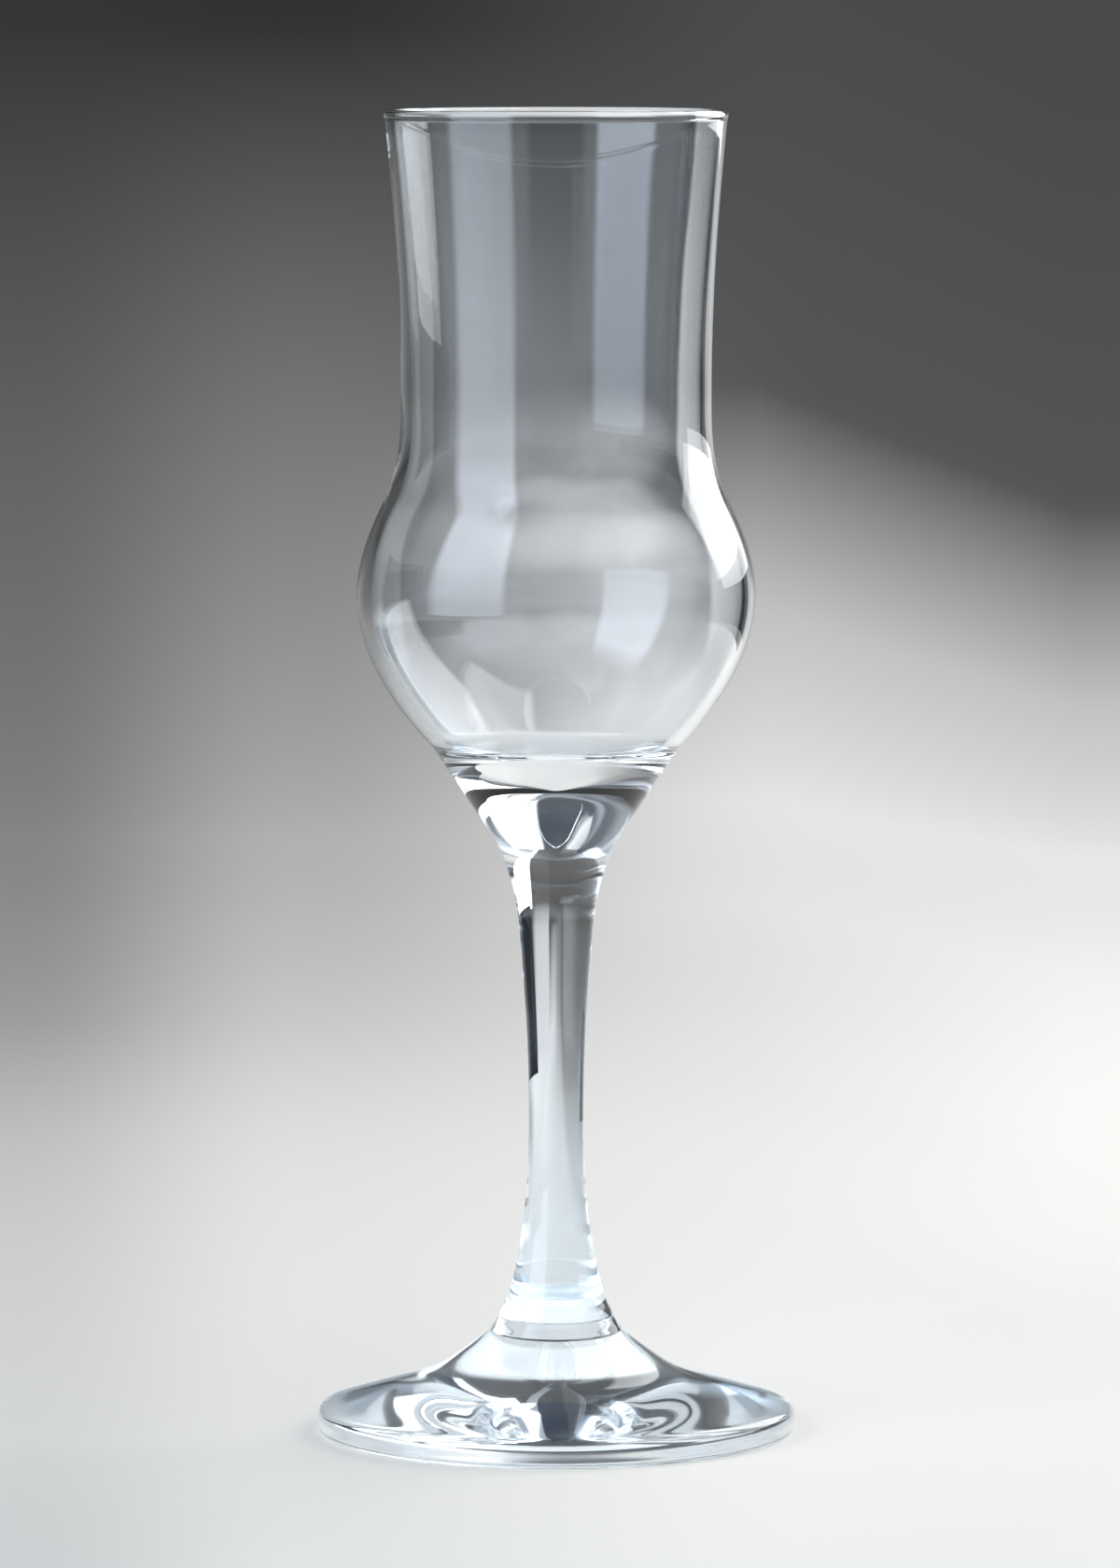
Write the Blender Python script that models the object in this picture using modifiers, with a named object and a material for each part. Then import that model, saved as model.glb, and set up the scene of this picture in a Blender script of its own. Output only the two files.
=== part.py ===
"""Stemmed tequila glass: a blown bowl, a drawn stem and a pressed foot, fused end to end.

Lengths are metres and +Z is up. The origin is on the axis, in the plane the foot rests on.
Each piece is a turned solid with its own origin at its seat, so a longer foot lifts the stem
and a longer stem lifts the bowl.
"""
import math

import bpy
from mathutils import Vector
from mathutils.geometry import interpolate_bezier

# Fused joints: the two seam radii are shared by the pieces on either side
SEAM_GAP = 0.0003
NECK_RADIUS = 0.0077
COLLAR_RADIUS = 0.0068

# Foot: a pressed disc that rises in a cone to a collar, hollowed below so that it rests on a ring
FOOT_RADIUS = 0.0317
FOOT_HEIGHT = 0.0166
EDGE_LOWER_ROUND = 0.0008
EDGE_BAND = 0.0018
EDGE_UPPER_ROUND = 0.0011
FOOT_SLOPE = math.radians(17)
FOOT_SWEEP = 0.0176
CONE_SLOPE = math.radians(36.5)
CONE_SWEEP = 0.0114
COLLAR_DROP = 0.0037
COLLAR_FLARE = 0.0025
COLLAR_TOP_LEAN = -0.50
COLLAR_FOOT_LEAN = -0.75
REST_RING_WIDTH = 0.0024
DOME_HEIGHT = 0.0004

# Stem: solid, thinnest at its waist; it tapers slowly to a knee near the top and flares above it
STEM_LENGTH = 0.0612
STEM_WAIST_RISE = 0.0261
STEM_WAIST_RADIUS = 0.00362
STEM_KNEE_DROP = 0.0101
STEM_KNEE_RADIUS = 0.00498
STEM_KNEE_LEAN = 0.125
STEM_TOP_LEAN = 0.42
STEM_FOOT_LEAN = -0.32

# Bowl, outside: each rise starts where the one before it ends
BASE_HEIGHT = 0.0126
CREASE_RADIUS = 0.0162
CREASE_LEAN = 0.97
BULB_RISE = 0.0203
BULB_RADIUS = 0.0263
SHOULDER_RISE = 0.0119
SHOULDER_RADIUS = 0.0229
SHOULDER_LEAN = -0.50
WAIST_RISE = 0.0148
WAIST_RADIUS = 0.02045
CHIMNEY_RISE = 0.0370
LIP_RADIUS = 0.02265
LIP_LEAN = 0.10

# Bowl, inside: walls from the fire-polished lip down to the solid base, and the floor of the hollow
LIP_THICKNESS = 0.00145
LIP_WRAP = math.radians(40)
WAIST_WALL = 0.0014
SHOULDER_WALL = 0.0016
BULB_WALL = 0.0018
HEEL_WALL = 0.0016
HEEL_SWEEP = 0.0025
BASE_THICKNESS = 0.0101
FLOOR_REACH = 0.0060
FLOOR_RISE = 0.0020

# Facets; points closer than the merge distance become one
MERGE_DISTANCE = 0.00001
TURN_STEPS = 48
WALL_POINTS = 8
FLARE_POINTS = 11
LIP_POINTS = 9
EDGE_POINTS = 5
DOME_POINTS = 6

GLASS_COLOUR = (0.93, 0.96, 0.97, 1.0)
GLASS_ROUGHNESS = 0.03
GLASS_IOR = 1.52


def spot(radius, height):
    """A point of a profile, drawn in the XZ plane at +X."""
    return Vector((radius, 0.0, height))


def wall(low, low_lean, high, high_lean):
    """A rising stretch from low to high; a lean is radius gained per height climbed."""
    third = (high.z - low.z) / 3
    low_handle = low + spot(low_lean * third, third)
    high_handle = high - spot(high_lean * third, third)
    return interpolate_bezier(low, low_handle, high_handle, high, WALL_POINTS)


def arc(centre, radius, start, end, points):
    """A round stretch about a centre, from one angle to another."""
    stretch = []
    for index in range(points):
        angle = start + (end - start) * index / (points - 1)
        stretch.append(centre + spot(radius * math.cos(angle), radius * math.sin(angle)))
    return stretch


def downward(stretch):
    return list(reversed(stretch))


def chain(*stretches):
    """One profile from stretches that share their end points."""
    profile = []
    for stretch in stretches:
        for point in stretch:
            if not profile or (point - profile[-1]).length > MERGE_DISTANCE:
                profile.append(point)
    return profile


def foot_profile():
    lower_centre = spot(FOOT_RADIUS - EDGE_LOWER_ROUND, EDGE_LOWER_ROUND)
    upper_centre = spot(FOOT_RADIUS - EDGE_UPPER_ROUND, EDGE_LOWER_ROUND + EDGE_BAND)
    upper_edge = arc(upper_centre, EDGE_UPPER_ROUND, math.pi / 2 - FOOT_SLOPE, 0, EDGE_POINTS)
    lower_edge = arc(lower_centre, EDGE_LOWER_ROUND, 0, -math.pi / 2, EDGE_POINTS)
    seam = spot(COLLAR_RADIUS, FOOT_HEIGHT)
    cone = seam + spot(COLLAR_FLARE, -COLLAR_DROP)
    cone_handle = cone + CONE_SWEEP * spot(math.cos(CONE_SLOPE), -math.sin(CONE_SLOPE))
    disc_handle = upper_edge[0] + FOOT_SWEEP * spot(-math.cos(FOOT_SLOPE), math.sin(FOOT_SLOPE))
    collar = downward(wall(cone, COLLAR_FOOT_LEAN, seam, COLLAR_TOP_LEAN))
    top = interpolate_bezier(cone, cone_handle, disc_handle, upper_edge[0], FLARE_POINTS)
    ring_radius = lower_centre.x - REST_RING_WIDTH
    dome = []
    for index in range(DOME_POINTS):
        share = 1 - index / (DOME_POINTS - 1)
        dome.append(spot(ring_radius * share, DOME_HEIGHT * (1 - share**2)))
    return chain([spot(0, FOOT_HEIGHT)], collar, top, upper_edge, lower_edge, dome)


def stem_profile():
    collar = spot(COLLAR_RADIUS, 0)
    waist = spot(STEM_WAIST_RADIUS, STEM_WAIST_RISE)
    knee = spot(STEM_KNEE_RADIUS, STEM_LENGTH - STEM_KNEE_DROP)
    neck = spot(NECK_RADIUS, STEM_LENGTH)
    flare = downward(wall(knee, STEM_KNEE_LEAN, neck, STEM_TOP_LEAN))
    upper = downward(wall(waist, 0, knee, STEM_KNEE_LEAN))
    lower = downward(wall(collar, STEM_FOOT_LEAN, waist, 0))
    return chain([spot(0, STEM_LENGTH)], flare, upper, lower, [spot(0, 0)])


def bowl_profile():
    neck = spot(NECK_RADIUS, 0)
    crease = spot(CREASE_RADIUS, BASE_HEIGHT)
    bulb = spot(BULB_RADIUS, crease.z + BULB_RISE)
    shoulder = spot(SHOULDER_RADIUS, bulb.z + SHOULDER_RISE)
    waist = spot(WAIST_RADIUS, shoulder.z + WAIST_RISE)
    lip_radius = LIP_THICKNESS / 2
    lip_centre = spot(LIP_RADIUS - lip_radius, waist.z + CHIMNEY_RISE - lip_radius)
    lip = arc(lip_centre, lip_radius, math.pi + LIP_WRAP, -LIP_WRAP, LIP_POINTS)

    inner_waist = waist - spot(WAIST_WALL, 0)
    inner_shoulder = shoulder - spot(SHOULDER_WALL, 0)
    inner_bulb = bulb - spot(BULB_WALL, 0)
    heel = crease + HEEL_WALL * spot(-1, CREASE_LEAN).normalized()
    heel_handle = heel - HEEL_SWEEP * spot(CREASE_LEAN, 1).normalized()
    floor = spot(0, BASE_THICKNESS)
    floor_handle = floor + spot(FLOOR_REACH, FLOOR_RISE)
    inside = chain(
        interpolate_bezier(floor, floor_handle, heel_handle, heel, FLARE_POINTS),
        wall(heel, CREASE_LEAN, inner_bulb, 0),
        wall(inner_bulb, 0, inner_shoulder, SHOULDER_LEAN),
        wall(inner_shoulder, SHOULDER_LEAN, inner_waist, 0),
        wall(inner_waist, 0, lip[0], LIP_LEAN),
    )
    outside = chain(
        downward(wall(waist, 0, lip[-1], LIP_LEAN)),
        downward(wall(shoulder, SHOULDER_LEAN, waist, 0)),
        downward(wall(bulb, 0, shoulder, SHOULDER_LEAN)),
        downward(wall(crease, CREASE_LEAN, bulb, 0)),
    )
    return chain(inside, lip, outside, [neck, spot(0, 0)])


def glass_material(name):
    """Clear soda-lime glass, faintly blue."""
    material = bpy.data.materials.new(name)
    material.use_nodes = True
    surface = material.node_tree.nodes["Principled BSDF"]
    surface.inputs["Base Color"].default_value = GLASS_COLOUR
    surface.inputs["Metallic"].default_value = 0.0
    surface.inputs["Roughness"].default_value = GLASS_ROUGHNESS
    surface.inputs["IOR"].default_value = GLASS_IOR
    surface.inputs["Transmission Weight"].default_value = 1.0
    return material


def turned_piece(name, profile, seat_height, parent, collection):
    """A closed solid turned about its own Z axis from a profile, seated at a height."""
    mesh = bpy.data.meshes.new(name)
    edges = [(index, index + 1) for index in range(len(profile) - 1)]
    mesh.from_pydata(profile, edges, [])
    piece = bpy.data.objects.new(name, mesh)
    collection.objects.link(piece)
    piece.parent = parent
    piece.location.z = seat_height
    mesh.materials.append(glass_material(name + "_glass"))
    turn = piece.modifiers.new("Turn", "SCREW")
    turn.axis = "Z"
    turn.angle = 2 * math.pi
    turn.steps = TURN_STEPS
    turn.render_steps = TURN_STEPS
    turn.use_merge_vertices = True
    turn.merge_threshold = MERGE_DISTANCE
    turn.use_smooth_shade = True
    return piece


def main():
    for old in list(bpy.data.objects):
        bpy.data.objects.remove(old, do_unlink=True)
    collection = bpy.data.collections.new("tequila_glass")
    bpy.context.scene.collection.children.link(collection)
    origin = bpy.data.objects.new("tequila_glass_origin", None)
    collection.objects.link(origin)

    stem_seat = FOOT_HEIGHT + SEAM_GAP
    bowl_seat = stem_seat + STEM_LENGTH + SEAM_GAP
    turned_piece("foot", foot_profile(), 0.0, origin, collection)
    turned_piece("stem", stem_profile(), stem_seat, origin, collection)
    turned_piece("bowl", bowl_profile(), bowl_seat, origin, collection)


main()
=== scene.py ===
# Tequila glass: bowl, stem and foot of clear glass fused hot, standing on a pale studio floor
import math

import bpy
import numpy as np
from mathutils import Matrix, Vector
from mathutils.geometry import interpolate_bezier


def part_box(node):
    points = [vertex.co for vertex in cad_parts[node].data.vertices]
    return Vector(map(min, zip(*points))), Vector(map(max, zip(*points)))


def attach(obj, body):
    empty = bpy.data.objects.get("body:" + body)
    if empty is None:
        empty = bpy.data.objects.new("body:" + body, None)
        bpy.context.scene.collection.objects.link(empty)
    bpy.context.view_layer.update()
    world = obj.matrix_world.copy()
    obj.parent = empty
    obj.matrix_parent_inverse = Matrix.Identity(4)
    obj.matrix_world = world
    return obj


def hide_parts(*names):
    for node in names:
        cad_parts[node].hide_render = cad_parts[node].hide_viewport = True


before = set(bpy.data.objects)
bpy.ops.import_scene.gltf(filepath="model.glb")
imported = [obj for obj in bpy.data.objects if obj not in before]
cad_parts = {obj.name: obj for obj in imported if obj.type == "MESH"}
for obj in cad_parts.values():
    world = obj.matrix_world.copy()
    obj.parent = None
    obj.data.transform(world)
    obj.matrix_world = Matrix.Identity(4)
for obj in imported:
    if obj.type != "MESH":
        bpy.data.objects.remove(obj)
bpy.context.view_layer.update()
mm = 0.001
print("frame loaded:", ", ".join(sorted(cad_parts)))


# One node socket, used in plain sums: operators on it add Math nodes
class Wire:
    def __init__(self, tree, socket):
        self.tree = tree
        self.socket = socket

    # Any other node: its type, its settings, then the values or links of its sockets
    @classmethod
    def node(cls, tree, kind, settings=None, sockets=None, output=0):
        made = tree.nodes.new(kind)
        for name, value in (settings or {}).items():
            if name == "stops":
                cls.setStops(made.color_ramp, value)
            else:
                setattr(made, name, value)
        for name, value in (sockets or {}).items():
            if isinstance(value, Wire):
                tree.links.new(value.socket, made.inputs[name])
            else:
                made.inputs[name].default_value = value
        return cls(tree, made.outputs[output]) if made.outputs else None

    @staticmethod
    def setStops(ramp, stops):
        while len(ramp.elements) < len(stops):
            ramp.elements.new(1.0)
        for element, (place, colour) in zip(ramp.elements, stops):
            element.position = place
            element.color = colour

    def other(self, output):
        return Wire(self.tree, self.socket.node.outputs[output])

    def math(self, operation, first, second=None):
        sockets = {0: first} if second is None else {0: first, 1: second}
        return Wire.node(self.tree, "ShaderNodeMath", {"operation": operation}, sockets)

    def __add__(self, value):
        return self.math("ADD", self, value)

    def __radd__(self, value):
        return self.math("ADD", value, self)

    def __sub__(self, value):
        return self.math("SUBTRACT", self, value)

    def __rsub__(self, value):
        return self.math("SUBTRACT", value, self)

    def __mul__(self, value):
        return self.math("MULTIPLY", self, value)

    def __rmul__(self, value):
        return self.math("MULTIPLY", value, self)

    def __truediv__(self, value):
        return self.math("DIVIDE", self, value)

    def __rtruediv__(self, value):
        return self.math("DIVIDE", value, self)

    def __pow__(self, value):
        return self.math("POWER", self, value)

    def __abs__(self):
        return self.math("ABSOLUTE", self)

    def above(self, value):
        return self.math("GREATER_THAN", self, value)

    def below(self, value):
        return self.math("LESS_THAN", self, value)

    # 0 at low, 1 at high, eased at both ends
    def eased(self, low, high):
        sockets = {"Value": self, "From Min": low, "From Max": high}
        return Wire.node(self.tree, "ShaderNodeMapRange", {"interpolation_type": "SMOOTHSTEP"}, sockets)

    def mixed(self, first, second):
        sockets = {0: self, 6: first, 7: second}
        return Wire.node(self.tree, "ShaderNodeMix", {"data_type": "RGBA"}, sockets, 2)

    # Two colours blended in full, such as added or multiplied
    def blended(self, blend, colour):
        settings = {"data_type": "RGBA", "blend_type": blend}
        return Wire.node(self.tree, "ShaderNodeMix", settings, {0: 1.0, 6: self, 7: colour}, 2)

    def grey(self):
        sockets = {"Red": self, "Green": self, "Blue": self}
        return Wire.node(self.tree, "ShaderNodeCombineColor", None, sockets)


# Camera at the photograph's angle: metres, degrees of dip, millimetres of lens and sensor
camera = {
    "distance": 1.1347,
    "height": 0.1919,
    "aside": 0.0005,
    "dip": 5.3235,
    "lens": 198.16,
    "sensor": 36.0,
    "clipStart": 0.01,
    "clipEnd": 50.0,
}


def setCamera():
    data = bpy.data.cameras.new("camera")
    data.lens = camera["lens"]
    data.sensor_width = camera["sensor"]
    data.clip_start = camera["clipStart"]
    data.clip_end = camera["clipEnd"]
    view = bpy.data.objects.new("camera", data)
    view.location = (camera["aside"], -camera["distance"], camera["height"])
    view.rotation_euler = (math.radians(90 - camera["dip"]), 0, 0)
    bpy.context.scene.collection.objects.link(view)
    bpy.context.scene.camera = view


setCamera()
print("camera set")


# Points drawn along one stretch of an outline
samples = {"rise": 60, "arc": 40, "hollow": 60, "footTop": 90, "dome": 60}

# Points nearer than these are one, a seam's faces are flat to a hair, and steeper edges stay sharp
joining = {"samePoint": 1e-9, "weld": 2e-7, "seamFlat": 1e-6, "sharpEdge": 40}


# Outlines are drawn at +X in the XZ plane, in metres
def spot(radius, height):
    return Vector((radius, 0.0, height))


# A rising stretch; a lean is radius gained per height climbed
def rise(low, lowLean, high, highLean):
    third = (high.z - low.z) / 3
    lowHandle = low + spot(lowLean * third, third)
    highHandle = high - spot(highLean * third, third)
    return interpolate_bezier(low, lowHandle, highHandle, high, samples["rise"])


def arc(centre, radius, start, end):
    last = samples["arc"] - 1
    turn = [start + (end - start) * index / last for index in range(last + 1)]
    return [centre + spot(radius * math.cos(angle), radius * math.sin(angle)) for angle in turn]


def downward(stretch):
    return list(reversed(stretch))


# Points along an outline, evenly spaced
def evenly(stretches, spacing):
    line = np.array([tuple(point) for stretch in stretches for point in stretch])
    step = np.linalg.norm(np.diff(line, axis=0), axis=1)
    line = line[np.concatenate(([True], step > joining["samePoint"]))]
    along = np.concatenate(([0.0], np.cumsum(np.linalg.norm(np.diff(line, axis=0), axis=1))))
    places = np.linspace(0.0, along[-1], int(along[-1] / spacing) + 1)
    return np.stack([np.interp(places, along, line[:, axis]) for axis in range(3)], axis=1)


# Rounds an even outline over a reach; past its ends it goes on mirrored in the axis
def rounded(line, spacing, reach):
    span = int(3 * reach / spacing) + 1
    mirror = np.array((-1.0, 1.0, 1.0))
    padded = np.concatenate((line[span:0:-1] * mirror, line, line[-2:-span - 2:-1] * mirror))
    gap = np.arange(-span, span + 1) * spacing / reach
    weight = np.exp(-0.5 * gap * gap)
    weight /= weight.sum()
    return np.stack([np.convolve(padded[:, axis], weight, "valid") for axis in range(3)], axis=1)


# Fire polish: long on open walls, short at the crisp heights and in between at the seams
def polished(line):
    spacing = polish["spacing"]
    smooth = rounded(line, spacing, polish["soft"])
    for height, reach, fade in polish["places"]:
        share = np.clip(np.abs(line[:, 2] - height) / fade, 0.0, 1.0)[:, None]
        share = share * share * (3 - 2 * share)
        smooth = smooth * share + rounded(line, spacing, reach) * (1 - share)
    return smooth


# Rows for the turned mesh: close together where the outline bends, and evenly graded
def graded(line):
    step = np.linalg.norm(np.diff(line, axis=0), axis=1)
    along = np.concatenate(([0.0], np.cumsum(step)))
    slope = np.gradient(line, along, axis=0)
    heading = np.unwrap(np.arctan2(slope[:, 2], slope[:, 0]))
    bend = np.abs(np.gradient(heading, along))
    wanted = np.clip(bend / rows["turn"], 1 / rows["longest"], 1 / rows["shortest"])
    window = np.ones(int(rows["grading"] / polish["spacing"]) | 1)
    wanted = np.convolve(np.pad(wanted, len(window) // 2, "edge"), window / window.sum(), "valid")
    total = np.concatenate(([0.0], np.cumsum((wanted[1:] + wanted[:-1]) / 2 * step)))
    places = np.interp(np.linspace(0.0, total[-1], int(total[-1]) + 2), total, along)
    return np.stack([np.interp(places, along, line[:, axis]) for axis in range(3)], axis=1)


# Geometry Nodes: turns an outline about Z, ripples the glass and clears the fused faces
def turnedTree():
    tree = bpy.data.node_groups.new("turnedGlass", "GeometryNodeTree")
    face = tree.interface
    face.new_socket("Outline", in_out="INPUT", socket_type="NodeSocketGeometry")
    for name, kind, value in (
        ("Steps", "NodeSocketInt", 200),
        ("Ripple Height", "NodeSocketFloat", 0.0),
        ("Ripple Width", "NodeSocketFloat", 0.01),
        ("Ripple Stretch", "NodeSocketFloat", 3.0),
        ("Seed", "NodeSocketFloat", 1.0),
        ("Low Seam", "NodeSocketFloat", -1.0),
        ("High Seam", "NodeSocketFloat", 1.0),
        ("Calm Low", "NodeSocketFloat", -1.0),
        ("Calm High", "NodeSocketFloat", 1.0),
        ("Calm Reach", "NodeSocketFloat", 0.002),
        ("Mark Place", "NodeSocketVector", (0.0, 0.0, 1.0)),
        ("Mark Width", "NodeSocketFloat", 0.001),
        ("Mark Depth", "NodeSocketFloat", 0.0),
        ("Glass", "NodeSocketMaterial", None),
        ("Fused", "NodeSocketMaterial", None),
    ):
        made = face.new_socket(name, in_out="INPUT", socket_type=kind)
        if value is not None:
            made.default_value = value
    face.new_socket("Piece", in_out="OUTPUT", socket_type="NodeSocketGeometry")

    given = Wire.node(tree, "NodeGroupInput")
    steps = given.other("Steps")
    outline = given.other("Outline")
    count = Wire.node(tree, "GeometryNodeAttributeDomainSize", None, {"Geometry": outline})
    grid = Wire.node(tree, "GeometryNodeMeshGrid", None, {"Vertices X": steps + 1, "Vertices Y": count})

    # Grid columns go round the axis and grid rows follow the outline
    index = Wire.node(tree, "GeometryNodeInputIndex")
    column = index.math("FLOOR", (index + 0.5) / count)
    row = index - column * count
    position = Wire.node(tree, "GeometryNodeInputPosition")
    sampled = Wire.node(
        tree, "GeometryNodeSampleIndex", {"data_type": "FLOAT_VECTOR"},
        {"Geometry": outline, "Value": position, "Index": row},
    )
    radius = Wire.node(tree, "ShaderNodeSeparateXYZ", None, {"Vector": sampled})
    angle = column / steps * (2 * math.pi)
    across = radius * angle.math("COSINE", angle)
    along = radius * angle.math("SINE", angle)
    turned = Wire.node(
        tree, "ShaderNodeCombineXYZ", None, {"X": across, "Y": along, "Z": radius.other("Z")},
    )
    placed = Wire.node(tree, "GeometryNodeSetPosition", None, {"Geometry": grid, "Position": turned})
    closed = Wire.node(
        tree, "GeometryNodeMergeByDistance", None, {"Geometry": placed, "Distance": joining["weld"]},
    )

    # Ripples fade out at the seams, the lip and the rest ring
    height = Wire.node(tree, "ShaderNodeSeparateXYZ", None, {"Vector": position}, "Z")
    reach = given.other("Calm Reach")
    fromLow = height - given.other("Calm Low")
    fromHigh = given.other("Calm High") - height
    loose = fromLow.eased(0.0, reach) * fromHigh.eased(0.0, reach)
    width = given.other("Ripple Width")
    stretched = Wire.node(tree, "ShaderNodeCombineXYZ", None, {
        "X": 1 / width, "Y": 1 / width, "Z": 1 / (width * given.other("Ripple Stretch")),
    })
    scaled = Wire.node(tree, "ShaderNodeVectorMath", {"operation": "MULTIPLY"}, {0: position, 1: stretched})
    noise = Wire.node(
        tree, "ShaderNodeTexNoise", {"noise_dimensions": "4D"},
        {"Vector": scaled, "W": given.other("Seed"), "Scale": 1.0, "Detail": 1.0, "Roughness": 0.4},
    )

    # One pressed mark, a shallow round dimple
    away = Wire.node(
        tree, "ShaderNodeVectorMath", {"operation": "DISTANCE"},
        {0: position, 1: given.other("Mark Place")}, "Value",
    )
    fall = (away / given.other("Mark Width")) ** 2.0
    dimple = given.other("Mark Depth") * fall.math("EXPONENT", fall * -1.0)
    lift = (noise - 0.5) * 2 * given.other("Ripple Height") * loose - dimple
    normal = Wire.node(tree, "GeometryNodeInputNormal")
    offset = Wire.node(tree, "ShaderNodeVectorMath", {"operation": "SCALE"}, {0: normal, "Scale": lift})
    rippled = Wire.node(tree, "GeometryNodeSetPosition", None, {"Geometry": closed, "Offset": offset})

    # The faces inside a seam are flat on its height
    lowGap = abs(height - given.other("Low Seam"))
    highGap = abs(height - given.other("High Seam"))
    flat = lowGap.below(joining["seamFlat"]) + highGap.below(joining["seamFlat"])
    smooth = Wire.node(tree, "GeometryNodeSetShadeSmooth", {"domain": "FACE"}, {"Geometry": rippled})
    edgeTurn = Wire.node(tree, "GeometryNodeInputMeshEdgeAngle")
    steep = edgeTurn.above(math.radians(joining["sharpEdge"]))
    sharp = Wire.node(
        tree, "GeometryNodeSetShadeSmooth", {"domain": "EDGE"},
        {"Geometry": smooth, "Selection": steep, "Shade Smooth": False},
    )
    whole = Wire.node(tree, "GeometryNodeRealizeInstances", None, {"Geometry": sharp})
    glassed = Wire.node(
        tree, "GeometryNodeSetMaterial", None,
        {"Geometry": whole, "Material": given.other("Glass")},
    )
    fused = Wire.node(
        tree, "GeometryNodeSetMaterial", None,
        {"Geometry": glassed, "Selection": flat, "Material": given.other("Fused")},
    )
    Wire.node(tree, "NodeGroupOutput", None, {"Piece": fused})
    return tree


# An outline becomes a plain turned mesh that stands for its CAD node
def turnedPiece(name, outline, inputs):
    shape = bpy.data.meshes.new(name)
    edges = [(index, index + 1) for index in range(len(outline) - 1)]
    shape.from_pydata([tuple(point) for point in outline], edges, [])
    piece = bpy.data.objects.new(name, shape)
    bpy.context.scene.collection.objects.link(piece)
    turning = piece.modifiers.new("turn", "NODES")
    turning.node_group = glassTree
    for item in glassTree.interface.items_tree:
        if item.in_out == "INPUT" and item.name in inputs:
            turning[item.identifier] = inputs[item.name]
    bpy.context.view_layer.update()
    evaluated = piece.evaluated_get(bpy.context.evaluated_depsgraph_get())
    solid = bpy.data.meshes.new_from_object(evaluated)
    piece.modifiers.remove(turning)
    piece.data = solid
    solid.name = name
    bpy.data.meshes.remove(shape)
    solid.calc_loop_triangles()
    volume = sum(
        solid.vertices[a].co.dot(solid.vertices[b].co.cross(solid.vertices[c].co)) / 6
        for a, b, c in (triangle.vertices for triangle in solid.loop_triangles)
    )
    if volume < 0:
        solid.flip_normals()
    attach(piece, "root")
    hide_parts(name.split("_")[0])
    print(name, len(solid.loop_triangles), "triangles", round(abs(volume) * 1e6, 2), "ml of glass")
    return piece


# Clear soda-lime glass, faintly blue where it is thick and where the eye looks along the wall
glassLook = {
    "thin": (0.97, 0.985, 1.0, 1.0),
    "thick": (0.86, 0.935, 1.0, 1.0),
    "edge": (0.62, 0.84, 0.94, 1.0),
    "edgeBlend": 0.35,
    "edgeFall": 3.0,
    "thickBelow": 18.0 * mm,
    "thinAbove": 95.0 * mm,
    "ior": 1.52,
    "striaWidth": 1.1 * mm,
    "striaStretch": 9.0,
    "striaDepth": 0.0012 * mm,
    "smearWidth": 14.0 * mm,
    "smearFrom": 0.5,
    "smearTo": 0.75,
    "smearRoughness": 0.012,
    "wearHeight": 0.06 * mm,
    "wearRoughness": 0.22,
    "pressedHeight": 0.5 * mm,
    "pressedRoughness": 0.05,
}


def clearGlass():
    material = bpy.data.materials.new("clearGlass")
    material.use_nodes = True
    tree = material.node_tree
    tree.nodes.clear()
    place = Wire.node(tree, "ShaderNodeTexCoord", None, None, "Object")
    height = Wire.node(tree, "ShaderNodeSeparateXYZ", None, {"Vector": place}, "Z")

    # Striae: faint flow lines lying level in the glass
    fine = 1 / glassLook["striaWidth"]
    broad = fine / glassLook["striaStretch"]
    flow = Wire.node(tree, "ShaderNodeMapping", None, {"Vector": place, "Scale": (broad, broad, fine)})
    stria = Wire.node(tree, "ShaderNodeTexNoise", None, {"Vector": flow, "Scale": 1.0, "Detail": 1.0})
    bumped = Wire.node(
        tree, "ShaderNodeBump", None,
        {"Height": stria, "Distance": glassLook["striaDepth"], "Strength": 1.0},
    )

    # Smears of handling, a pressed underside and wear on the ring it stands on
    smear = Wire.node(
        tree, "ShaderNodeTexNoise", None,
        {"Vector": place, "Scale": 1 / glassLook["smearWidth"], "Detail": 2.0},
    )
    handled = smear.eased(glassLook["smearFrom"], glassLook["smearTo"]) * glassLook["smearRoughness"]
    worn = (1 - height.eased(0.0, glassLook["wearHeight"])) * glassLook["wearRoughness"]
    pressed = height.below(glassLook["pressedHeight"]) * glassLook["pressedRoughness"]
    facing = Wire.node(tree, "ShaderNodeLayerWeight", None, {"Blend": glassLook["edgeBlend"]}, "Facing")
    depth = height.eased(glassLook["thickBelow"], glassLook["thinAbove"])
    body = depth.mixed(glassLook["thick"], glassLook["thin"])
    tint = (facing ** glassLook["edgeFall"]).mixed(body, glassLook["edge"])
    surface = Wire.node(tree, "ShaderNodeBsdfPrincipled", None, {
        "Base Color": tint,
        "Roughness": handled + worn + pressed,
        "IOR": glassLook["ior"],
        "Transmission Weight": 1.0,
        "Normal": bumped,
    })
    Wire.node(tree, "ShaderNodeOutputMaterial", None, {"Surface": surface})
    return material


# Inside a fused seam there is nothing to see
def fusedSeam():
    material = bpy.data.materials.new("fusedSeam")
    material.use_nodes = True
    tree = material.node_tree
    tree.nodes.clear()
    surface = Wire.node(tree, "ShaderNodeBsdfTransparent")
    Wire.node(tree, "ShaderNodeOutputMaterial", None, {"Surface": surface})
    return material


glassTree = turnedTree()
glass = clearGlass()
fused = fusedSeam()
print("glass mixed")

# Where the pieces meet: halfway across the gap that the CAD leaves at each seam
bowlLow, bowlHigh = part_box("bowl")
stemLow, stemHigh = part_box("stem")
footLow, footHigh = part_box("foot")
neckHeight = (stemHigh.z + bowlLow.z) / 2
collarHeight = (footHigh.z + stemLow.z) / 2

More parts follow.
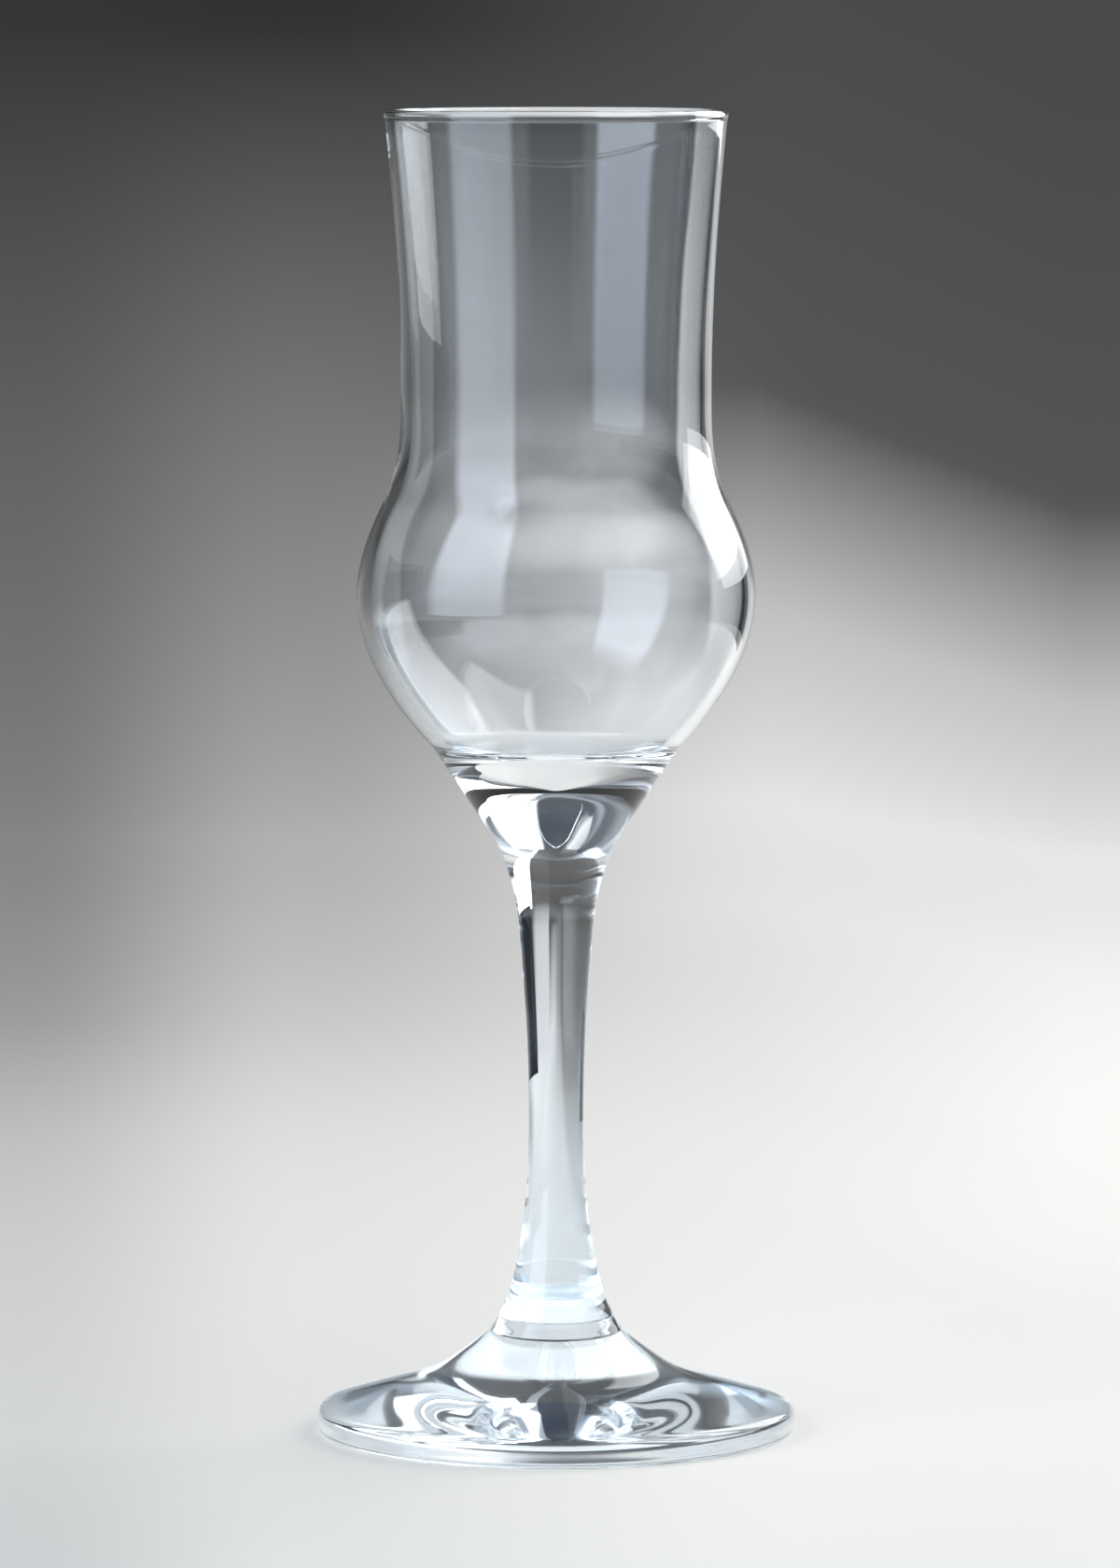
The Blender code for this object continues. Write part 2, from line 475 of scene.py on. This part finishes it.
bowl = {
    "neckRadius": 7.7 * mm,
    "creaseHeight": 91.0 * mm,
    "creaseRadius": 16.2 * mm,
    "creaseLean": 0.97,
    "bulbHeight": 111.3 * mm,
    "shoulderHeight": 123.2 * mm,
    "shoulderRadius": 22.9 * mm,
    "shoulderLean": -0.50,
    "waistHeight": 138.0 * mm,
    "waistRadius": 20.45 * mm,
    "lipRadius": 22.65 * mm,
    "lipLean": 0.10,
    "lipThickness": 1.45 * mm,
    "lipWrap": 40,
    "waistWall": 1.4 * mm,
    "shoulderWall": 1.6 * mm,
    "bulbWall": 1.8 * mm,
    "heelWall": 1.6 * mm,
    "heelSweep": 2.5 * mm,
    "floorHeight": 88.5 * mm,
    "floorReach": 6.0 * mm,
    "floorRise": 2.0 * mm,
}

stem = {
    "waistHeight": 43.0 * mm,
    "waistRadius": 3.62 * mm,
    "kneeHeight": 68.0 * mm,
    "kneeRadius": 4.98 * mm,
    "kneeLean": 0.09,
    "topLean": 0.42,
    "footLean": -0.32,
    "collarRadius": 6.8 * mm,
}

foot = {
    "lowerRound": 0.8 * mm,
    "band": 1.8 * mm,
    "upperRound": 1.1 * mm,
    "slope": 17,
    "sweep": 17.6 * mm,
    "coneHeight": 12.9 * mm,
    "coneRadius": 9.3 * mm,
    "coneSlope": 36.5,
    "coneSweep": 11.4 * mm,
    "collarLean": -0.50,
    "coneLean": -0.75,
    "ringWidth": 2.4 * mm,
    "domeHeight": 0.4 * mm,
}

# Fire polish on the whole outside, which the seams then divide: height, reach and fade of each place
polish = {
    "spacing": 0.05 * mm,
    "soft": 0.7 * mm,
    "places": (
        (neckHeight, 1.1 * mm, 6.0 * mm),
        (bowl["creaseHeight"], 0.15 * mm, 4.0 * mm),
        (bowlHigh.z, 0.12 * mm, 4.0 * mm),
        (0.0, 0.15 * mm, 4.0 * mm),
    ),
}

# Rows of the turned mesh
rows = {
    "turn": math.radians(2.4),
    "longest": 0.8 * mm,
    "shortest": 0.06 * mm,
    "grading": 1.5 * mm,
}

# Rings left on the collar where the stem was fused to it: height, how far they stand out, half width
collarRings = (
    (16.6 * mm, 0.20 * mm, 0.9 * mm),
    (15.4 * mm, -0.05 * mm, 0.28 * mm),
    (13.4 * mm, -0.06 * mm, 0.35 * mm),
)


def bowlStretches():
    neck = spot(bowl["neckRadius"], neckHeight)
    crease = spot(bowl["creaseRadius"], bowl["creaseHeight"])
    bulb = spot(bowlHigh.x, bowl["bulbHeight"])
    shoulder = spot(bowl["shoulderRadius"], bowl["shoulderHeight"])
    waist = spot(bowl["waistRadius"], bowl["waistHeight"])
    half = bowl["lipThickness"] / 2
    lipCentre = spot(bowl["lipRadius"] - half, bowlHigh.z - half)
    wrap = math.radians(bowl["lipWrap"])
    lip = arc(lipCentre, half, math.pi + wrap, -wrap)
    innerBulb = bulb - spot(bowl["bulbWall"], 0)
    innerShoulder = shoulder - spot(bowl["shoulderWall"], 0)
    innerWaist = waist - spot(bowl["waistWall"], 0)
    hollow = spot(0, bowl["floorHeight"])
    hollowHandle = hollow + spot(bowl["floorReach"], bowl["floorRise"])
    heel = crease + bowl["heelWall"] * spot(-1, bowl["creaseLean"]).normalized()
    heelHandle = heel - bowl["heelSweep"] * spot(bowl["creaseLean"], 1).normalized()
    inside = [
        interpolate_bezier(hollow, hollowHandle, heelHandle, heel, samples["hollow"]),
        rise(heel, bowl["creaseLean"], innerBulb, 0),
        rise(innerBulb, 0, innerShoulder, bowl["shoulderLean"]),
        rise(innerShoulder, bowl["shoulderLean"], innerWaist, 0),
        rise(innerWaist, 0, lip[0], bowl["lipLean"]),
    ]
    outside = [
        downward(rise(waist, 0, lip[-1], bowl["lipLean"])),
        downward(rise(shoulder, bowl["shoulderLean"], waist, 0)),
        downward(rise(bulb, 0, shoulder, bowl["shoulderLean"])),
        downward(rise(crease, bowl["creaseLean"], bulb, 0)),
        [neck],
    ]
    return inside + [lip], outside


def stemStretches():
    neck = spot(bowl["neckRadius"], neckHeight)
    knee = spot(stem["kneeRadius"], stem["kneeHeight"])
    waist = spot(stem["waistRadius"], stem["waistHeight"])
    collar = spot(stem["collarRadius"], collarHeight)
    return [
        downward(rise(knee, stem["kneeLean"], neck, stem["topLean"])),
        downward(rise(waist, 0, knee, stem["kneeLean"])),
        downward(rise(collar, stem["footLean"], waist, 0)),
    ]


def footStretches():
    collar = spot(stem["collarRadius"], collarHeight)
    slope = math.radians(foot["slope"])
    tilt = math.radians(foot["coneSlope"])
    lowerCentre = spot(footHigh.x - foot["lowerRound"], foot["lowerRound"])
    upperCentre = spot(footHigh.x - foot["upperRound"], foot["lowerRound"] + foot["band"])
    upperEdge = arc(upperCentre, foot["upperRound"], math.pi / 2 - slope, 0)
    lowerEdge = arc(lowerCentre, foot["lowerRound"], 0, -math.pi / 2)
    cone = spot(foot["coneRadius"], foot["coneHeight"])
    coneHandle = cone + foot["coneSweep"] * spot(math.cos(tilt), -math.sin(tilt))
    topHandle = upperEdge[0] + foot["sweep"] * spot(-math.cos(slope), math.sin(slope))
    neck = downward(rise(cone, foot["coneLean"], collar, foot["collarLean"]))
    top = interpolate_bezier(cone, coneHandle, topHandle, upperEdge[0], samples["footTop"])
    ring = lowerCentre.x - foot["ringWidth"]
    dome = []
    last = samples["dome"] - 1
    for index in range(last + 1):
        share = 1 - index / last
        dome.append(spot(ring * share, foot["domeHeight"] * (1 - share**2)))
    return [neck, top, upperEdge, lowerEdge], [dome]


def outlines():
    inside, bowlOutside = bowlStretches()
    footOutside, footUnder = footStretches()
    skin = evenly(inside + bowlOutside + stemStretches() + footOutside + footUnder, polish["spacing"])
    skin = polished(skin)
    lipIndex = int(np.argmax(skin[:, 2]))
    neckIndex = lipIndex + int(np.argmin(np.abs(skin[lipIndex:, 2] - neckHeight)))
    collarIndex = neckIndex + int(np.argmin(np.abs(skin[neckIndex:, 2] - collarHeight)))
    outside = skin[neckIndex:]
    for height, proud, half in collarRings:
        outside[:, 0] += proud * np.exp(-((outside[:, 2] - height) / half) ** 2)
    skin[neckIndex, 2] = neckHeight
    skin[collarIndex, 2] = collarHeight
    neckCentre = np.array([(0.0, 0.0, neckHeight)])
    collarCentre = np.array([(0.0, 0.0, collarHeight)])
    parts = {}
    for name, first, last, before, after in (
        ("bowl", 0, neckIndex, None, neckCentre),
        ("stem", neckIndex, collarIndex, neckCentre, collarCentre),
        ("foot", collarIndex, len(skin) - 1, collarCentre, None),
    ):
        line = graded(skin[first:last + 1])
        line[0, 0] *= first > 0
        line[-1, 0] *= last < len(skin) - 1
        parts[name] = np.concatenate([end for end in (before, line, after) if end is not None])
    return parts


# Slow unevenness of blown and pressed glass, for each piece
ripple = {
    "bowl": {
        "Steps": 240, "Ripple Height": 0.024 * mm, "Ripple Width": 11.0 * mm,
        "Ripple Stretch": 2.5, "Seed": 3.0,
    },
    "stem": {
        "Steps": 200, "Ripple Height": 0.004 * mm, "Ripple Width": 6.0 * mm,
        "Ripple Stretch": 3.0, "Seed": 5.0,
    },
    "foot": {
        "Steps": 240, "Ripple Height": 0.004 * mm, "Ripple Width": 9.0 * mm,
        "Ripple Stretch": 1.0, "Seed": 8.0,
    },
}
calmReach = 4.0 * mm
noSeam = -1.0  # a height that no piece reaches

# Mould mark low on the bowl's outside, at the left of the front
mark = {"height": 96.5 * mm, "azimuth": -32, "width": 0.9 * mm, "depth": 0.05 * mm}


def markPlace(outline):
    lip = int(np.argmax(outline[:, 2]))
    nearest = lip + int(np.argmin(np.abs(outline[lip:, 2] - mark["height"])))
    turn = math.radians(mark["azimuth"])
    radius = outline[nearest, 0]
    return (radius * math.sin(turn), -radius * math.cos(turn), mark["height"])


parts = outlines()
for name, lowSeam, highSeam, calmLow, calmHigh in (
    ("bowl", neckHeight, noSeam, neckHeight, bowlHigh.z),
    ("stem", collarHeight, neckHeight, collarHeight, neckHeight),
    ("foot", noSeam, collarHeight, 0.0, collarHeight),
):
    inputs = dict(ripple[name], Glass=glass, Fused=fused)
    inputs["Low Seam"] = lowSeam
    inputs["High Seam"] = highSeam
    inputs["Calm Low"] = calmLow
    inputs["Calm High"] = calmHigh
    inputs["Calm Reach"] = calmReach
    if name == "bowl":
        inputs["Mark Place"] = markPlace(parts[name])
        inputs["Mark Width"] = mark["width"]
        inputs["Mark Depth"] = mark["depth"]
    turnedPiece(name + "_glass", parts[name], inputs)


# Floor: pale round the glass, fading to grey with distance and up a round cove, a painted shade of the light
# falling off
stage = {
    "floorReach": 0.8,
    "coveRound": 1.8,
    "wallTop": 2.4,
    "flatRows": 33,
    "coveRows": 60,
    "turns": 96,
    "pale": 0.60,
    "white": (1.0, 0.957, 0.88, 1.0),
    "paleReach": 0.10,
    "paleEnd": 0.90,
    "least": 0.01,
    "paintedUnderGlow": 0.35,
    "underShare": 0.9,
    "nearest": 0.3,
    "rampEnd": 3.0,
}


def coveMesh():
    rounded = stage["coveRound"]
    flatRadii = np.linspace(0.0, stage["floorReach"], stage["flatRows"])
    line = [(radius, 0.0) for radius in flatRadii]
    for index in range(1, stage["coveRows"] + 1):
        angle = math.pi / 2 * index / stage["coveRows"]
        line.append((stage["floorReach"] + rounded * math.sin(angle), rounded * (1 - math.cos(angle))))
    line.append((stage["floorReach"] + rounded, stage["wallTop"]))
    reach = [0.0]
    for (firstRadius, firstHeight), (radius, height) in zip(line, line[1:]):
        reach.append(reach[-1] + math.hypot(radius - firstRadius, height - firstHeight))
    turns = stage["turns"]
    points = []
    sweep = []
    for turn in range(turns):
        angle = 2 * math.pi * turn / turns
        for (radius, height), length in zip(line, reach):
            points.append((radius * math.cos(angle), radius * math.sin(angle), height))
            sweep.append(length)
    rows = len(line)
    faces = []
    for turn in range(turns):
        here = turn * rows
        there = (turn + 1) % turns * rows
        for row in range(rows - 1):
            faces.append((here + row, here + row + 1, there + row + 1, there + row))
    mesh = bpy.data.meshes.new("floor")
    mesh.from_pydata(points, [], faces)
    mesh.attributes.new("sweep", "FLOAT", "POINT").data.foreach_set("value", sweep)
    mesh.polygons.foreach_set("use_smooth", [True] * len(faces))
    return mesh


# Painted light and shade: the glow that the floor and cove add to the lamps' light, by metres along them
# from the glass, in place of how the studio's light falls on them
paintedGlow = {
    "left": (
        (0.0, 0.235), (0.31, 0.215), (0.46, 0.17), (0.62, 0.215), (0.80, 0.23), (1.26, 0.125), (1.61, 0.035),
        (1.66, 0.035), (1.90, 0.08),
    ),
    "middle": (
        (0.0, 0.31), (0.10, 0.355), (0.31, 0.39), (0.44, 0.385), (0.62, 0.425), (0.80, 0.43), (1.26, 0.20),
        (1.61, 0.03), (1.66, 0.03), (1.90, 0.085),
    ),
    "right": (
        (0.15, 0.405), (0.31, 0.475), (0.44, 0.58), (0.60, 0.73), (0.82, 0.79), (1.07, 0.54), (1.28, 0.09),
        (1.65, 0.065), (1.90, 0.09),
    ),
    "farRight": (
        (0.15, 0.405), (0.31, 0.475), (0.44, 0.58), (0.60, 0.73), (0.82, 0.79), (1.20, 0.70), (1.50, 0.42),
        (1.80, 0.12),
    ),
    "farLeft": (
        (0.0, 0.235), (0.31, 0.215), (0.46, 0.18), (0.62, 0.245), (0.80, 0.31), (1.05, 0.30), (1.26, 0.25),
        (1.45, 0.20), (1.61, 0.12), (1.80, 0.08),
    ),
    "front": (
        (0.20, 0.04), (0.55, 0.10), (0.90, 0.20), (1.15, 0.45), (1.45, 0.68), (1.68, 0.73), (1.85, 0.48),
        (2.05, 0.25),
    ),
}

# In front of the glass, painted light: where the front glow takes over, and the brighter painted light at
# the sides of that floor
front = {
    "tint": (0.80, 0.90, 1.0, 1.0),
    "turn": (-0.8, -0.5), "reach": (0.12, 0.25),
    "narrows": (0.7, 1.1), "narrower": 0.45, "closest": 0.05,
    "beside": 0.55, "besideTurn": (0.2, 0.45), "besideReach": (0.25, 0.5), "besideFrom": 0.1,
}

# Sideways places of the painted glow's ramps for each metre from the camera, those past the edges of its
# view, how the painted shadow at the upper right leans, and the painted light on the floor at the near right
sides = {
    "left": -0.062, "middle": -0.030, "right": 0.031, "farRight": (0.066, 0.076), "farEnd": (0.30, 0.22),
    "farLeft": (-0.066, -0.074), "farStart": (-0.28, -0.12),
    "leanFrom": 0.040, "lean": 3.0, "leanLow": -0.05, "leanHigh": 0.06,
    "paintedNearRight": 0.06, "nearFade": (0.15, 0.0),
}


def floorPaint():
    material = bpy.data.materials.new("floorPaint")
    material.use_nodes = True
    tree = material.node_tree
    tree.nodes.clear()
    sweep = Wire.node(tree, "ShaderNodeAttribute", {"attribute_name": "sweep"}, None, "Fac")
    place = Wire.node(tree, "ShaderNodeTexCoord", None, None, "Object")
    across = Wire.node(tree, "ShaderNodeSeparateXYZ", None, {"Vector": place})
    back = across.other("Y")
    behind = back + camera["distance"]
    aside = across / behind.math("MAXIMUM", behind, stage["nearest"])
    # Painted shadow at the upper right: the right ramp is shifted so its dark edge leans across the floor
    # and cove
    lean = (aside - sides["leanFrom"]) * sides["lean"]
    lean = lean.math("MINIMUM", lean.math("MAXIMUM", lean, sides["leanLow"]), sides["leanHigh"])
    # One ramp of painted light and shade for each side of the floor and cove
    glows = {}
    for side, stretch in paintedGlow.items():
        along = sweep + lean if side == "right" else sweep
        stops = [(at / stage["rampEnd"], (grey, grey, grey, 1.0)) for at, grey in stretch]
        share = along / stage["rampEnd"]
        glows[side] = Wire.node(tree, "ShaderNodeValToRGB", {"stops": stops}, {"Fac": share})
    seen = aside.eased(sides["left"], sides["middle"]).mixed(glows["left"], glows["middle"])
    seen = aside.eased(sides["middle"], sides["right"]).mixed(seen, glows["right"])
    far = aside.eased(*sides["farRight"]) * aside.eased(*sides["farEnd"])
    seen = far.mixed(seen, glows["farRight"])
    far = aside.eased(*sides["farLeft"]) * aside.eased(*sides["farStart"])
    seen = far.mixed(seen, glows["farLeft"])
    # Painted light on the floor at the near right
    paintedLightNear = aside.eased(sides["middle"], sides["right"]) * back.eased(*sides["nearFade"])
    seen = seen.blended("ADD", (paintedLightNear * sides["paintedNearRight"]).grey())
    # Painted light on the floor in front: lighter at its sides than straight ahead, tinted blue
    beside = (abs(across) / back.math("MAXIMUM", back * -1, front["besideFrom"])).eased(*front["besideTurn"])
    beside = beside * sweep.eased(*front["besideReach"]) * front["beside"]
    near = glows["front"].blended("LIGHTEN", beside.grey()).blended("MULTIPLY", front["tint"])
    apart = Wire.node(tree, "ShaderNodeVectorMath", {"operation": "LENGTH"}, {0: place}, "Value")
    ahead = back * -1 / apart.math("MAXIMUM", apart, front["closest"])
    turned = ahead - sweep.eased(*front["narrows"]) * front["narrower"]
    glow = (turned.eased(*front["turn"]) * sweep.eased(*front["reach"])).mixed(seen, near)

    # Painted light under the foot, in place of the light the glass lets through: for rays that come through
    # the glass the floor there glows, so it shows as pale as it is beside it
    through = Wire.node(tree, "ShaderNodeLightPath", None, None, "Is Transmission Ray")
    inner = stage["underShare"] * footHigh.x
    under = (1 - sweep.eased(inner, footHigh.x)) * through * stage["paintedUnderGlow"]
    glow = glow.blended("ADD", under.grey())
    # Painted shade: the floor's colour fades from pale near the glass to almost black far off and up the
    # cove, in place of the lamps' light falling off
    shade = (1 - sweep.eased(stage["paleReach"], stage["paleEnd"])) * stage["pale"] + stage["least"]
    colour = shade.mixed((0.0, 0.0, 0.0, 1.0), stage["white"])
    surface = Wire.node(tree, "ShaderNodeBsdfPrincipled", None, {
        "Base Color": colour,
        "Roughness": 0.9,
        "Specular IOR Level": 0.0,
        "Emission Color": glow,
        "Emission Strength": 1.0,
    })
    Wire.node(tree, "ShaderNodeOutputMaterial", None, {"Surface": surface})
    return material


# Black flags beside the glass give its edges their dark lines; the camera does not see them
flags = {
    "rightLowFlag": {"from": 100, "to": 150, "distance": 0.50, "low": 0.001, "high": 0.13},
    "leftLowFlag": {"from": -130, "to": -55, "distance": 0.28, "low": 0.001, "high": 0.05},
}
flagCloth = {"colour": (0.012, 0.014, 0.018, 1.0), "roughness": 0.95, "bends": 13}


def setFlags():
    material = bpy.data.materials.new("blackCloth")
    material.use_nodes = True
    surface = material.node_tree.nodes["Principled BSDF"]
    surface.inputs["Base Color"].default_value = flagCloth["colour"]
    surface.inputs["Roughness"].default_value = flagCloth["roughness"]
    surface.inputs["Specular IOR Level"].default_value = 0.0
    bends = flagCloth["bends"]
    for name, flag in flags.items():
        points = []
        for index in range(bends):
            turn = math.radians(flag["from"] + (flag["to"] - flag["from"]) * index / (bends - 1))
            across = flag["distance"] * math.sin(turn)
            back = -flag["distance"] * math.cos(turn)
            points += [(across, back, flag["low"]), (across, back, flag["high"])]
        faces = [(2 * i, 2 * i + 1, 2 * i + 3, 2 * i + 2) for i in range(bends - 1)]
        mesh = bpy.data.meshes.new(name)
        mesh.from_pydata(points, [], faces)
        mesh.materials.append(material)
        cloth = bpy.data.objects.new(name, mesh)
        cloth.visible_camera = False
        cloth.visible_diffuse = False
        cloth.visible_shadow = False
        bpy.context.scene.collection.objects.link(cloth)


def setStage():
    floor = bpy.data.objects.new("floor", coveMesh())
    floor.data.materials.append(floorPaint())
    bpy.context.scene.collection.objects.link(floor)
    setFlags()


setStage()
print("floor laid")


# Softboxes: azimuth is degrees right of the camera's side, seen from the glass; glow is their brightness.
# The two that lie flat overhead show in the glass and leave the floor's light alone
softboxes = {
    "leftBox": {
        "azimuth": -54, "distance": 0.45, "low": 0.03, "width": 0.44, "height": 0.67,
        "lean": 0, "glow": 4.0, "colour": (0.78, 0.87, 1.0),
        "lowest": 0.5, "rising": 0.45, "feather": 0.12, "top": 0.35,
    },
    "rightBox": {
        "azimuth": 132, "distance": 0.60, "low": 0.13, "width": 0.48, "height": 0.52,
        "lean": 28, "glow": 3.6, "colour": (0.97, 0.985, 1.0),
        "lowest": 0.7, "rising": 0.20, "feather": 0.06, "top": 0.10,
    },
    "ceilingBox": {
        "azimuth": 22, "distance": 1.70, "low": 0.75, "width": 2.6, "height": 1.5,
        "lean": 90, "glow": 2.0, "colour": (0.90, 0.94, 1.0),
        "lowest": 0.0, "rising": 0.45, "feather": 0.25, "top": 0.35,
    },
    "topBox": {
        "azimuth": 100, "distance": 0.66, "low": 0.78, "width": 0.60, "height": 0.56,
        "lean": 90, "glow": 3.0, "colour": (0.97, 0.985, 1.0),
        "lowest": 0.7, "rising": 0.20, "feather": 0.10, "top": 0.10,
    },
}
room = (0.045, 0.058, 0.080, 1.0)


# A softbox dims towards its lower or farther edge and softens at its sides and top
def boxShade(tree, box):
    tree.nodes.clear()
    place = Wire.node(tree, "ShaderNodeNewGeometry", None, None, "Parametric")
    across = Wire.node(tree, "ShaderNodeSeparateXYZ", None, {"Vector": place})
    sides = across.eased(0.0, box["feather"]) * (1 - across).eased(0.0, box["feather"])
    up = across.other("Y")
    level = up.eased(0.0, box["rising"]) * (1 - box["lowest"]) + box["lowest"]
    level = level * (1 - up).eased(0.0, box["top"])
    light = Wire.node(tree, "ShaderNodeEmission", None, {"Color": (sides * level).grey()})
    Wire.node(tree, "ShaderNodeOutputLight", None, {"Surface": light})


def setLights():
    for name, box in softboxes.items():
        data = bpy.data.lights.new(name, "AREA")
        data.shape = "RECTANGLE"
        data.size = box["width"]
        data.size_y = box["height"]
        data.energy = box["glow"] * math.pi * box["width"] * box["height"]
        data.color = box["colour"]
        data.use_nodes = True
        boxShade(data.node_tree, box)
        light = bpy.data.objects.new(name, data)
        turn = math.radians(box["azimuth"])
        lean = math.radians(box["lean"])
        away = Vector((math.sin(turn), -math.cos(turn), 0.0))
        up = Vector((0, 0, 1)) * math.cos(lean) - away * math.sin(lean)
        light.location = away * box["distance"] + Vector((0, 0, box["low"])) + up * box["height"] / 2
        light.rotation_euler = (math.pi / 2 - lean, 0, turn)
        light.visible_camera = False
        light.visible_diffuse = box["lean"] < 90
        bpy.context.scene.collection.objects.link(light)
    world = bpy.data.worlds.new("room")
    world.use_nodes = True
    world.node_tree.nodes["Background"].inputs["Color"].default_value = room
    bpy.context.scene.world = world


setLights()

scene = bpy.context.scene
scene.view_settings.view_transform = "Standard"
scene.cycles.max_bounces = 32
scene.cycles.transmission_bounces = 32
scene.cycles.transparent_max_bounces = 32
scene.cycles.glossy_bounces = 16
print("lights set")
